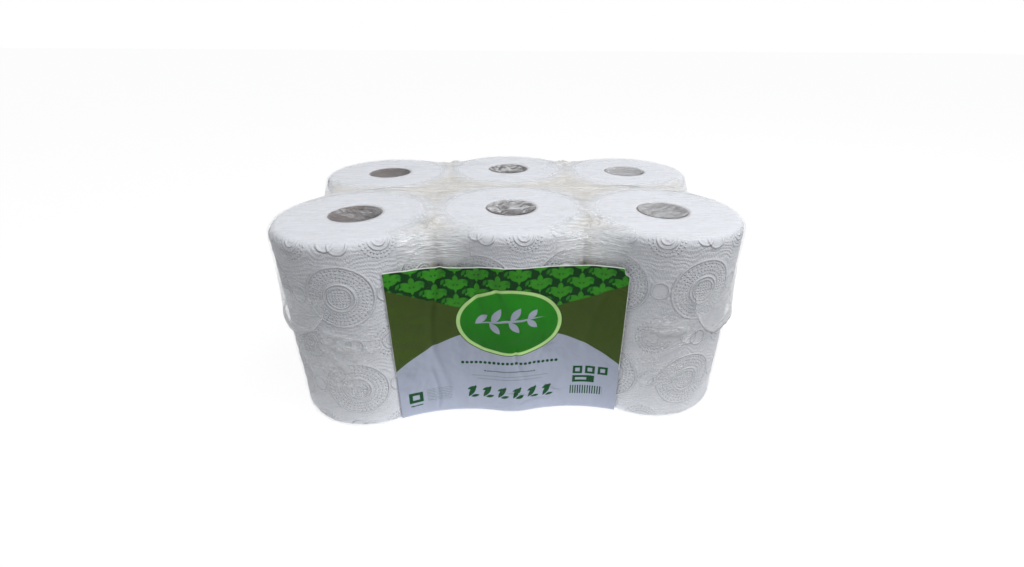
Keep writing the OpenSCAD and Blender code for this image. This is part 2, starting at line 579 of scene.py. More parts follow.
def labelDent(x, z):
    soft = np.abs(softNoise(np.column_stack([x, z, 0 * x]), 55.0, 12)) * label["dent"]
    return (creaseHeight(labelCreases, x, z) * label["press"] + soft) * smoothStep(0.004, 0.012, z)


# Embossed towel

emboss = {
    "cellsAround": 6,
    "cellHeight": 0.105,
    "medallion": 31.0,  # radii in mm
    "heart": 14.0,  # bold ring inside the medallion
    "target": 19.0,
    "bubble": 8.3,
    "dotPitch": 3.5,
    "wavePitch": 4.6,
    "beadPitch": 2.4,
    "seedPitch": 2.9,
    "sway": 38.0,  # how far the wavy lines wander
    "relief": 0.0014,
}
cellWidth = 2 * math.pi * rollRadius / emboss["cellsAround"] / mm
cellTall = emboss["cellHeight"] / mm
bubbles = ((0.435, 0.015), (0.565, -0.015), (0.0, 0.5))  # places in the repeat
towelColours = {
    "coolWhite": (0.835, 0.855, 0.905, 1),
    # painted light: a brighter white where rolls face each other, for the light bouncing between
    # them
    "warmWhite": (0.93, 0.94, 0.92, 1),
    # painted shade: beige along the lines where rolls touch
    "cream": (0.88, 0.82, 0.66, 1),
}


def motifDistance(cell, x, y):
    # Distance in mm from the nearest copy of a motif in the repeat, the angle there and the place
    moved = cell + (0.5 - x, 0.5 - y, 0)
    local = (vectorCalc("FRACTION", moved) - (0.5, 0.5, 0)) * (cellWidth, cellTall, 0)
    part = split(local)
    return vectorCalc("LENGTH", local), calc("ARCTAN2", part["Y"], part["X"]), part


def boldRing(distance, radius, width=1.5):
    off = (distance - radius) / width
    return clamped(1.0 - off * off)


def dotRings(distance, angle, low, high):
    around = round(math.pi * (low + high) / emboss["dotPitch"])
    rings = wave("COSINE", distance - low, emboss["dotPitch"])
    spokes = calc("COSINE", angle * around)
    dots = ramp(rings + spokes, 0.6, -0.2)
    return dots * band(distance, low - 1.2, high + 1.2, 0.8)


def towelEmboss():
    group, given, made = newGroup("towelEmboss", ["Vector"], ["Height"])
    cell = given["Vector"]
    medallion, medallionAngle, part = motifDistance(cell, 0.5, 0.5)
    target, targetAngle, _ = motifDistance(cell, 0.0, 0.0)
    seedWaves = [wave("COSINE", part[axis], emboss["seedPitch"]) for axis in ("X", "Y")]
    seeds = ramp(addAll(seedWaves), 0.6, -0.2)
    shapes = [
        seeds * band(medallion, -1.0, emboss["heart"] - 4.5, 0.8),
        boldRing(medallion, emboss["heart"]),
        boldRing(medallion, emboss["heart"] - 3.4, 1.1),
        dotRings(medallion, medallionAngle, emboss["heart"] + 3.6, emboss["medallion"] - 3.4),
        boldRing(medallion, emboss["medallion"]),
        *[boldRing(target, *ring) for ring in ((2.0, 1.2), (6.0, 1.3), (10.0, 1.3))],
        dotRings(target, targetAngle, 13.6, emboss["target"] - 1.8),
    ]
    around = [(medallion, emboss["medallion"]), (target, emboss["target"])]
    for x, y in bubbles:
        bubble = motifDistance(cell, x, y)[0]
        shapes.append(boldRing(bubble, emboss["bubble"]))
        around.append((bubble, emboss["bubble"]))
    # Wavy lines and rows of fine dots fill the ground between the motifs
    place = split(cell)
    sway = (noiseNode(cell * (3.0, 2.5, 0), 1.0, 1.0) - 0.5) * emboss["sway"]
    waves = wave("SINE", place["Y"] * cellTall + sway, emboss["wavePitch"])
    beads = wave("SINE", place["X"] * cellWidth, emboss["beadPitch"])
    ground = waves * (beads * 0.08 + 0.13)
    for distance, radius in around:
        ground = ground * band(distance, radius + 1.2, 900.0, 1.0)
    creping = noiseNode(cell * (60, 110, 0), 1.0, 3.0, 0.6) * 0.5
    plug(addAll(shapes + [ground, creping]), made["Height"])
    return group


def towelMaterial():
    material, tree, out = newMaterial("embossedTowel")
    height = useGroup(towelEmboss(), Vector=uvOf(tree, "unrolled"))["Height"]
    fuzz = noiseNode(objectPoint(tree), 420, 3.0, 0.6)
    total = height * attributeOf(tree, "side") + fuzz * 0.3
    # Painted light and shade: whiter where rolls face each other, for the light that bounces
    # between them, and beige along the lines where they touch, for the shade there
    near = attributeOf(tree, "cream")  # 1 where two rolls touch
    colour = mixColour(clamped(near * 1.6), towelColours["coolWhite"], towelColours["warmWhite"])
    colour = mixColour(ramp(near, 4.0, -3.0), colour, towelColours["cream"])
    normal = newBump(total, emboss["relief"])
    principled(out, colour, 0.92, Sheen_Weight=0.08, Specular_IOR_Level=0.25, Normal=normal)
    return material


# Rolls

roll = {
    "shoulder": 0.010,
    "columns": 340,
    "sideSpacing": 0.0021,
    "endSpacing": 0.0035,
    "ringCount": 8,
    "ringDepth": 0.00035,
    "ringWidth": 0.0012,
    "dent": 0.0008,  # soft unevenness of the wound side
    "pressGap": 0.00012,
    "coreGap": 0.00005,
    "sink": 0.0009,  # the side is sunk so far, and its relief then stands so proud at most
    "proud": 0.0003,
    "near": 2.2,  # rolls with axes closer than this many radii lean on each other
}


def embossShape(across, up):
    # The broad part of the emboss, in metres, at cells across and up the unrolled side
    def distance(x, y):
        du = ((across - x + 0.5) % 1 - 0.5) * cellWidth
        dv = ((up - y + 0.5) % 1 - 0.5) * cellTall
        return np.hypot(du, dv)

    def ring(r, at, width):
        return np.exp(-(((r - at) / width) ** 2))

    medallion, target = distance(0.5, 0.5), distance(0.0, 0.0)
    height = 0.42 * ring(medallion, emboss["medallion"], 2.2)
    height += 0.40 * ring(medallion, emboss["heart"] - 1, 2.6)
    height += 0.36 * ring(target, emboss["target"] - 2, 2.4) + 0.30 * ring(target, 8, 2.4)
    for x, y in bubbles:
        height += 0.40 * ring(distance(x, y), emboss["bubble"], 1.8)
    return height * mm


def plainRoll():
    r, h = roll["shoulder"], rollHigh.z - rollLow.z
    inner, outer = coreRadius + roll["coreGap"], rollRadius
    points = [(inner, 0)]
    points += roundCorner((outer - r, r), r, -90, 0, 8)
    points += roundCorner((outer - r, h - r), r, 0, 90, 8)
    points += [(inner, h)]
    end, side = roll["endSpacing"], roll["sideSpacing"]
    return turnedMesh("roll", points, [end] + [side] * 17 + [end] + [h], roll["columns"])


def rollMesh(place, index, mesh):
    r, h = roll["shoulder"], rollHigh.z - rollLow.z
    inner, outer = coreRadius + roll["coreGap"], rollRadius
    phase = index * 0.37
    wrapUv(mesh, emboss["cellsAround"], emboss["cellHeight"], phase)

    p = readPoints(mesh)
    turn, radius = np.arctan2(p[:, 1], p[:, 0]), np.hypot(p[:, 0], p[:, 1])
    onSide = smoothStep(outer - 0.006, outer - 0.0005, radius)
    across = turn / (2 * math.pi) * emboss["cellsAround"] + phase
    lift = embossShape(across, p[:, 2] / emboss["cellHeight"])
    lift += softNoise(p, 24.0, index + 1) * roll["dent"]
    lift += softNoise(p, 70.0, index + 9) * roll["dent"] * 0.4
    radius = radius + np.minimum((lift - roll["sink"]) * onSide, roll["proud"])
    # Rings between turns on both ends, and a slight unevenness of the end itself
    pitch = (outer - r - inner) / roll["ringCount"]
    fromRing = np.abs((radius - inner + pitch / 2) % pitch - pitch / 2)
    onEnd = (np.minimum(p[:, 2], h - p[:, 2]) < 0.0005) & (radius > inner + 0.001)
    groove = np.exp(-((fromRing / roll["ringWidth"]) ** 2)) * roll["ringDepth"]
    groove += np.abs(softNoise(p, 45.0, index + 20)) * 0.0005
    z = p[:, 2] + np.where(p[:, 2] > h / 2, -1, 1) * groove * onEnd
    x, y = radius * np.cos(turn), radius * np.sin(turn)

    # Flats where the roll is pressed by its neighbours in the row, and where any roll is near, a
    # mask for the painted bounce light and contact shade
    centre, row = axes[place], place.split("_")[0]
    cream = np.zeros(len(p))
    for other in places:
        if other == place:
            continue
        away = axes[other] - centre
        gap = np.linalg.norm(away)
        away = away / gap
        if gap > roll["near"] * outer:
            continue
        if other.split("_")[0] == row:
            beyond = np.maximum(x * away[0] + y * away[1] - (gap - roll["pressGap"]) / 2, 0)
            x, y = x - beyond * away[0], y - beyond * away[1]
        facing = np.cos(turn) * away[0] + np.sin(turn) * away[1]
        cream = np.maximum(cream, smoothStep(58, 12, np.degrees(np.arccos(np.clip(facing, -1, 1)))))
    x, y, z = x + centre[0], y + centre[1], z + rollLow.z
    if row == "front":
        # Pressed in behind the creases of the label
        fromMiddle = np.abs(x - label["centre"])
        behind = smoothStep(labelWidth / 2 + 0.008, labelWidth / 2, fromMiddle)
        behind = behind * smoothStep(labelTop + 0.01, labelTop, z)
        limit = frontAt(x, label["inset"] + label["wall"]) + labelDent(x, z) + 0.0003
        y = np.where(y < centre[1], np.maximum(y, limit - (1 - behind) * 0.004), y)
    writePoints(mesh, np.column_stack([x, y, z]))
    writeValues(mesh, side=onSide, cream=cream * smoothStep(outer - 0.008, outer - 0.002, radius))
    return mesh


towel = towelMaterial()
plain = plainRoll()
for index, place in enumerate(places):
    wound = rollMesh(place, index, plain.copy())
    addPiece("towelRoll_" + place, wound, "roll_" + place, towel)
bpy.data.meshes.remove(plain)
print("rolls wound")


# Cardboard cores

core = {
    "columns": 96,
    "rim": 0.0004,
    "wall": 0.0016,
    "spacing": 0.012,
    "seamPitch": 0.055,
    "seamWidth": 0.05,
    "darkFibre": (0.17, 0.13, 0.115, 1),
    "paleFibre": (0.28, 0.23, 0.21, 1),
    "seamColour": (0.10, 0.07, 0.06, 1),
}


def cardboardMaterial():
    material, tree, out = newMaterial("woundCardboard")
    uv = uvOf(tree, "unrolled")
    part = split(uv)
    turned = calc("FRACT", part["Y"] - part["X"])
    seam = band(turned, 0.0, core["seamWidth"], 0.02)
    fibre = noiseNode(uv * (60, 8, 1), 1.0, 4.0, 0.65)
    colour = mixColour(fibre, core["darkFibre"], core["paleFibre"])
    colour = mixColour(seam, colour, core["seamColour"])
    normal = newBump(fibre * 0.3 - seam, 0.0004)
    principled(out, colour, 0.85, Specular_IOR_Level=0.3, Normal=normal)
    return material


def coreMesh(place):
    tall, rim = coreHigh.z - coreLow.z, core["rim"]
    bore = coreRadius - core["wall"]
    points = roundCorner((bore + rim, rim), rim, 180, 270, 2)
    points += roundCorner((coreRadius - rim, rim), rim, 270, 360, 2)
    points += roundCorner((coreRadius - rim, tall - rim), rim, 0, 90, 2)
    points += roundCorner((bore + rim, tall - rim), rim, 90, 180, 2)
    mesh = turnedMesh("core_" + place, points, [core["spacing"]] * len(points), core["columns"])
    wrapUv(mesh, 1, core["seamPitch"])
    centre = axes[place]
    writePoints(mesh, readPoints(mesh) + np.array([centre[0], centre[1], coreLow.z]))
    return mesh


cardboard = cardboardMaterial()
for place in places:
    addPiece("cardboardCore_" + place, coreMesh(place), "core_" + place, cardboard)
print("cores placed")


# Creases of the film: fans from the ends of the seals and the hollows, and scattered fine ones

rng = random.Random(7)
sideCreases = []
sealEnds = ((-0.176, False, -35), (0.172, False, 190), (-0.176, True, 215), (0.172, True, -20))
for x, back, heading in sealEnds:
    end = (runAt(x, back), 0.115)
    sideCreases += fan(rng, end, heading, 40, 11, (0.03, 0.07), 0.0024, 0.0012, 0.010)
for back in (False, True):
    for _ in range(50):
        spot = (runAt(rng.choice((-1, 1)) * rng.uniform(0.12, 0.20), back), rng.uniform(0.02, 0.19))
        sideCreases += fan(rng, spot, rng.choice((0, 180)), 14, 1, (0.012, 0.035), 0.002, 0.0005)
topCreases = []
for row, end in itertools.product(("front", "back"), ("left", "right")):
    middle = (axes[row + "_" + end] + axes[row + "_middle"]) / 2
    outward = math.copysign(1, middle[1])
    spot = (middle[0], middle[1] + 0.044 * outward)
    topCreases += fan(rng, spot, -90 * outward, 75, 9, (0.02, 0.06), 0.0024, 0.0016, 0.006)
for _ in range(70):
    spot = (rng.uniform(-0.22, 0.22), rng.uniform(-0.15, 0.15))
    topCreases += fan(rng, spot, 0, 12, 1, (0.02, 0.07), 0.0020, 0.0005)

# The film over each core's mouth: how hazy, how crumpled, and the heading of its lines
mouths = {
    "front_left": (0.0, 0.22, -43),
    "front_middle": (0.12, 0.68, 8),
    "front_right": (0.30, 0.26, 30),
    "back_left": (0.05, 0.05, 0),
    "back_middle": (0.02, 0.66, 5),
    "back_right": (0.37, 0.06, 0),
}

# Folds by the seals: sideways place, at the back or not, height, half width, half height, heading
sealFolds = (
    (-0.165, False, 0.080, 0.034, 0.062, -33),
    (-0.135, False, 0.120, 0.020, 0.030, 4),
    (0.150, False, 0.132, 0.026, 0.036, 6),
    (0.150, False, 0.080, 0.036, 0.050, 24),
    (-0.150, True, 0.120, 0.040, 0.045, -5),
    (0.150, True, 0.110, 0.040, 0.050, 12),
)


def localPlaces(points, patches):
    # The place of each point in its nearest patch, turned to the patch's heading, and which patch
    found = []
    for centre, size, heading in patches:
        away = points - np.array(centre)
        turn = math.radians(heading)
        along = away[:, 0] * math.cos(turn) + away[:, 1] * math.sin(turn)
        off = away[:, 1] * math.cos(turn) - away[:, 0] * math.sin(turn)
        reach = np.hypot(away[:, 0] / size[0], away[:, 1] / size[1])
        found.append(np.column_stack([along, off, reach]))
    found = np.array(found)
    nearest = np.argmin(found[:, :, 2], axis=0)
    chosen = found[nearest, np.arange(len(points))]
    return chosen[:, :2], chosen[:, 2], nearest


def rollGaps(x, y):
    # How far each point is past the flat top of its nearest roll, and whether it is between rolls
    distances = np.sort([np.hypot(x - c[0], y - c[1]) for c in axes.values()], axis=0)
    past = distances[0] - (rollRadius - roll["shoulder"])
    return past, smoothStep(rollRadius + 0.058, rollRadius + 0.044, distances[1])


def filmMesh():
    b = bag
    zones = [b["baseRows"], b["edgeRows"], b["sideRows"], b["edgeRows"], b["topRows"]]
    mesh, column, row = gridMesh("filmBag", len(outline) - 1, sum(zones))
    deep = outline[column, 4]
    top = bagHigh.z
    baseRound = b["shoulder"] + b["baseSlack"] * deep
    topRound = b["shoulder"] + b["topSlack"] * deep

    # Inset and height of every vertex, zone by zone from the middle of the base to the top
    ends = np.cumsum(zones)
    share = [np.clip((row - end + zone) / zone, 0, 1) for end, zone in zip(ends, zones)]
    lower, upper = share[1] * math.pi / 2, share[3] * math.pi / 2
    inset = baseRound * (1 - np.sin(lower)) + topRound * (1 - np.cos(upper))
    z = baseRound * (1 - np.cos(lower)) + topRound * np.sin(upper)
    z = z + (top - topRound - baseRound) * share[2]
    inward = np.maximum(1 - share[0], share[4])
    xy, away = outlinePoint(outline[column], inset)
    middle = np.column_stack([np.clip(xy[:, 0] * 0.7, -b["spine"], b["spine"]), np.zeros(len(row))])
    xy = xy + (middle - xy) * (inward * 0.985)[:, None]
    run = outlineRun[column]
    awayFromSeam = smoothStep(0, 0.02, run) * smoothStep(outlineRun[-1], outlineRun[-1] - 0.02, run)

    onTop = smoothStep(top - 0.004, top - 0.0005, z)
    onSide = smoothStep(0.003, 0.012, z) * smoothStep(top - 0.003, top - 0.012, z) * awayFromSeam
    front = (xy[:, 1] < -0.1) & (z < labelTop + 0.004)
    overLabel = front * smoothStep(0.122, 0.115, np.abs(xy[:, 0] - label["centre"]))
    sideLift = creaseHeight(sideCreases, run, z) * onSide
    topLift = creaseHeight(topCreases, xy[:, 0], xy[:, 1]) * onTop
    drawn = np.column_stack([run * 0.16, z, run * 0])
    ripple = np.abs(softNoise(drawn, 120.0, 5)) * b["ripple"] * onSide
    past, between = rollGaps(xy[:, 0], xy[:, 1])
    sag = between * smoothStep(0.008, 0.040, past) * b["gapSag"]
    seam = (axes["front_left"][1] + axes["back_left"][1]) / 2
    alongSeam = smoothStep(0.030, 0.012, np.abs(xy[:, 1] - seam)) * onTop
    # Painted light: milky veils over the gaps between rolls, along the seam between the rows and in
    # the hollows above the label, partly real haze of film spanning them and partly painting the
    # light that bounces between the rolls
    veil = (0.74 + 0.18 * alongSeam) * between * smoothStep(-0.006, 0.004, past) * onTop
    rising = smoothStep(labelTop - 0.001, labelTop + 0.010, z) * (1 - onTop)
    veil = veil + 0.58 * smoothStep(0.0, 0.75, deep) * rising
    # Film drawn into the mouths of the cores, and gathered towards the ends of the seals
    patches = [(axes[place], (1, 1), mouths[place][2]) for place in places]
    inMouth, d, nearest = localPlaces(xy, patches)
    looks = np.array([mouths[place] for place in places])[nearest]
    looks = looks * smoothStep(0.042, 0.031, d)[:, None]
    crumple = np.abs(softNoise(np.column_stack([xy, 0 * d]), 130.0, 3)) * b["mouthCrumple"]
    sag = sag + smoothStep(0.027, 0.019, d) * (b["mouthSag"] - crumple * looks[:, 1])
    patches = [((runAt(x, back), rise), (wide, tall), heading)
               for x, back, rise, wide, tall, heading in sealFolds]
    inFolds, d, _ = localPlaces(np.column_stack([run, z]), patches)
    gather = np.clip(1.6 - 1.6 * d, 0, 1)
    xy = xy + away * ((sideLift + ripple) * (1 - 0.6 * overLabel))[:, None]
    xy[:, 1] += b["follow"] * labelDent(xy[:, 0], z) * overLabel
    # Level towards the spine, where the last gap is filled
    level = smoothStep(0.88, 0.99, share[4])
    z = z + (topLift - sag * onTop) * (1 - level) - b["spineSag"] * level
    z = np.where(row <= b["baseRows"], 0, z)
    writePoints(mesh, np.column_stack([xy, z]))
    writeValues(
        mesh,
        crease=np.clip(sideLift / 0.0014 * (1 - overLabel) + topLift / 0.0016, 0, 1),
        haze=np.clip(veil, 0, b["mostHaze"]),
        # painted light: warm tint over the gaps between the rolls
        warm=between * onTop * smoothStep(0.004, 0.016, past),
        overLabel=overLabel,
        mouthVeil=looks[:, 0] * onTop,
        mouthCrumple=looks[:, 1] * onTop,
        gather=gather * onSide,
    )
    corners = cornerVertices(mesh)
    writeUv(mesh, "unrolled", np.column_stack([run, z])[corners] * 10)
    writeUv(mesh, "inMouth", inMouth[corners] * 10)
    writeUv(mesh, "inFolds", inFolds[corners] * 10)
    closeSeam(mesh)
    return mesh


def drawnLines():
    # Fine drawn-out lines of stretched film, along X of the given vector; their Line makes the film
    # milky along them, partly whitened film and partly painted glints
    group, given, made = newGroup("drawnLines", ["Vector"], ["Line", "Height"])
    vector = given["Vector"]
    broad = noiseNode(vector, 1.0, 3.0, 0.55, 0.6)
    fine = noiseNode(vector * (2.4, 3.1, 2.4), 1.0, 2.0, 0.5, 0.3)
    total = ridge(broad, 11.0) * 0.7 + ridge(fine, 14.0) * 0.4
    patchy = ramp(noiseNode(vector * (0.6, 0.25, 0.6), 1.0, 1.0), 3.0, -1.0)
    plug(total, made["Height"])
    plug(total * patchy, made["Line"])
    return group


def crumpledMouth():
    # Film drawn into the mouth of a core: a haze and twisted folds, inside a circle; the white of
    # its fold lines and patches is partly milky film and partly painted glints
    inputs = ["Vector", "Veil", "Crumple"]
    group, given, made = newGroup("crumpledMouth", inputs, ["Haze", "Height"])
    vector, crumple = given["Vector"], given["Crumple"]
    inside = ramp(vectorCalc("LENGTH", vector), -1 / 0.012, 0.256 / 0.012)
    folds = noiseNode(vector * (2.0, 9.0, 0), 1.0, 1.0, 0.5, 1.2)
    line = ridge(folds, 13.0)
    patch = ramp(noiseNode(vector * (2.8, 6.0, 0), 1.0, 2.0), 5.0, -2.4)
    white = calc("POWER", line, 1.5) * 0.75 + patch * 0.35
    plug((white * crumple + given["Veil"]) * inside, made["Haze"])
    plug((folds + line) * crumple * inside, made["Height"])
    return group


lines = drawnLines()
mouth = crumpledMouth()


def filmMaterial(name, haze, roughness):
    # Clear film: milky on its folds and veils, and a mirror that grows at a low angle. The milky
    # lines on creases, folds and streaks are partly whitened film and partly painted glints, and
    # the veils over the gaps partly paint the light between the rolls.
    material, tree, out = newMaterial(name)
    point, uv = objectPoint(tree), uvOf(tree, "unrolled")
    upper = ramp(split(point)["Z"], 250.0, -250.0 * (bagHigh.z - 0.006))
    bare = 1.0 - attributeOf(tree, "overLabel")
    aside = (1.0 - upper) * bare
    gather = attributeOf(tree, "gather")
    onTop = useGroup(lines, Vector=point * (22, 190, 60))
    onSide = useGroup(lines, Vector=uv * (2.4, 17, 1))
    inFolds = useGroup(lines, Vector=uvOf(tree, "inFolds") * (3.6, 13, 0))
    veil, crumple = attributeOf(tree, "mouthVeil"), attributeOf(tree, "mouthCrumple")
    inMouth = useGroup(mouth, Vector=uvOf(tree, "inMouth"), Veil=veil, Crumple=crumple)
    # Milky lines on creases, folds, streaks and crumples are partly whitened film and partly
    # painted glints; the haze attribute holds veils that partly paint light between the rolls
    milk = calc("MINIMUM", addAll([
        onTop["Line"] * upper * 0.30,
        onSide["Line"] * aside * 0.14,
        attributeOf(tree, "crease") * 0.50,
        attributeOf(tree, "haze"),
        bare * haze,
        inMouth["Haze"],
        inFolds["Line"] * gather * 0.8,
    ]), bag["mostHaze"])
    normal = newBump(addAll([
        onTop["Height"] * upper,
        onSide["Height"] * (aside * 0.85 + 0.15),
        inMouth["Height"] * 0.6,
        inFolds["Height"] * gather,
    ]), 0.0010)

    # Seen from inside, the index of refraction is turned over
    ior = outputOf(tree, "NewGeometry", "Backfacing") * (1 / bag["ior"] - bag["ior"]) + bag["ior"]
    fresnel = Wire(newNode(tree, "Fresnel", IOR=ior, Normal=normal).outputs[0])
    mirror = milk * 0.06 + calc("MINIMUM", fresnel, bag["mostShine"])
    whole = clamped(milk + mirror)

    # Light goes on through the haze, as it does through milky film
    path = newNode(tree, "LightPath").outputs
    passing = calc("MAXIMUM", Wire(path["Is Shadow Ray"]), Wire(path["Is Diffuse Ray"]))
    # Cool white, with a painted warm tint over the gaps between the rolls for the light that
    # bounces there
    principled(
        out, mixColour(attributeOf(tree, "warm"), bag["coolHaze"], bag["warmHaze"]), roughness,
        Specular_IOR_Level=0.3, Metallic=mirror / calc("MAXIMUM", whole, 0.001),
        Alpha=whole * (passing * -bag["glow"] + 1.0), Normal=normal,
    )
    return material


addPiece("filmBag", filmMesh(), "film_bag", filmMaterial("clearFilm", 0.012, 0.12))
print("film drawn round the pack")


# Seal lips, the welded ends of the bag folded down over it

lip = {
    "root": 0.158,
    "edge": {-1: 0.1150, 1: 0.1075},
    "standOff": 0.0030,
    "reach": 0.070,
    "rows": 24,
    "curl": 5,  # of those rows, how many go back under the edge
    "wall": 0.0004,
    # painted light: the right lip, on the lit side, is made hazier than the left, partly for its
    # milky welded film and partly to paint its brighter light and glints
    "haze": {-1: 0.08, 1: 0.30},
    "edgeHaze": 0.45,
    "sway": 0.0035,
    "rough": 0.0009,
    "dimple": 0.0012,
}


def lipMesh(side):
    # side is -1 for the left end of the pack and 1 for the right
    chosen = np.flatnonzero(outlineXy[:-1, 0] * side > bagHigh.x - lip["standOff"] - lip["reach"])
    gaps = np.flatnonzero(np.diff(chosen) > 1)
    if len(gaps):
        chosen = np.concatenate([chosen[gaps[0] + 1:], chosen[: gaps[0] + 1]])
    count = len(chosen) - 1
    mesh, column, row = gridMesh("sealLip", count, lip["rows"])
    station = chosen[column]
    across = column / count
    run = column * bag["step"]
    level = np.zeros(len(run))
    spot = np.column_stack([run, level, level + side])
    sway, rough = softNoise(spot, 42.0, 2), softNoise(spot, 300.0, 4)
    fromEnd = np.clip(np.minimum(across, 1 - across) / 0.10, 0, 1)
    full = np.sqrt(1 - (1 - fromEnd) ** 2)

    # Down the outside to the edge, then back under it
    down = lip["rows"] - row
    t = np.clip(down / (lip["rows"] - lip["curl"]), 0, 1)
    under = np.clip((down - lip["rows"] + lip["curl"]) / lip["curl"], 0, 1)
    edge = lip["edge"][side] + lip["sway"] * sway + lip["rough"] * rough
    z = lip["root"] - (lip["root"] - edge) * full * (t - 0.14 * under)
    off = lip["standOff"] * full * (1 + 0.2 * sway) * t ** 2.2 * (1 - 0.75 * under)
    dimple = np.abs(softNoise(np.column_stack([run, z * 0.7, level + 5]), 80.0, 6)) * lip["dimple"]
    xy, away = outlinePoint(outline[station], level)
    xy = xy + away * (lip["wall"] + off + dimple * t * (1 - under) * full)[:, None]
    writePoints(mesh, np.column_stack([xy, z]))
    edgeHaze = lip["edgeHaze"] * smoothStep(0.84, 0.97, t) * full
    writeValues(mesh, haze=lip["haze"][side] * t + edgeHaze)
    writeUv(mesh, "unrolled", np.column_stack([outlineRun[station], z])[cornerVertices(mesh)] * 10)
    return mesh


lipFilm = filmMaterial("weldedFilm", 0.02, 0.2)
for side, name in ((-1, "Left"), (1, "Right")):
    piece = addPiece("sealLip" + name, lipMesh(side), "film_bag", lipFilm)
    addWall(piece, lip["wall"], 1)
print("seals folded")


# Label

def labelMesh():
    mesh, column, row = gridMesh("label", label["columns"], label["rows"])
    x = labelLow.x + labelWidth * column / label["columns"]
    bend = bag["shoulder"]
    path = row / label["rows"] * (labelTop - bend + labelTuckRun)  # from the tucked edge up
    onEdge = path < labelTuckRun
    a = np.where(onEdge, (labelTuckRun - path) / bend, 0)
    reach = bend - label["inset"]
    z = np.where(onEdge, bend - reach * np.sin(a), path - labelTuckRun + bend)
    inset = np.where(onEdge, bend - reach * np.cos(a), label["inset"])
    flat = np.column_stack([x - label["centre"], path - labelTuckRun + bend]) * 10
    # The top edge isn't quite straight, and its right corner is torn a little
    uneven = softNoise(np.column_stack([x, 0 * x, 0 * x]), 40.0, 8)
    z = z + label["uneven"] * uneven * smoothStep(0.15, labelTop, z)
    torn = smoothStep(labelHigh.x - label["tear"], labelHigh.x, x)
    torn = torn * smoothStep(labelTop - 0.012, labelTop, z)
    z = z - torn * label["tear"]
    x = x - torn * 0.003
    writePoints(mesh, np.column_stack([x, frontAt(x, inset) + labelDent(x, z), z]))
    writeUv(mesh, "printed", flat[cornerVertices(mesh)])
    writeValues(mesh, torn=torn)
    return mesh


def printedLeaf():
    # A leaf from its foot at Place, all in mm
    inputs = ["Vector", "Place", "Turn", "Length", "Width"]
    group, given, made = newGroup("printedLeaf", inputs, ["Mask"])
    part = split(turnFlat(given["Vector"] - given["Place"], given["Turn"] * -1.0))
    share = part["X"] / given["Length"]
    half = share * (1.0 - share) * 4.0 * given["Width"]
    plug(ramp(half - calc("ABSOLUTE", part["Y"]), 3.0, 0.5), made["Mask"])
    return group


printLight = 0.58  # share of light that falls on the label
printColours = {
    "deepGreen": (5, 46, 12),
    "leafGreen": (48, 120, 30),
    "midGreen": (34, 104, 26),
    "olive": (52, 68, 22),
    "ovalGreen": (32, 118, 24),
    "ovalDeep": (22, 92, 14),
    "rim": (158, 190, 122),
    "paper": (141, 147, 162),
    "ink": (12, 62, 32),
    "edge": (196, 199, 204),
}
colours = {name: linear(*seen, printLight) for name, seen in printColours.items()}


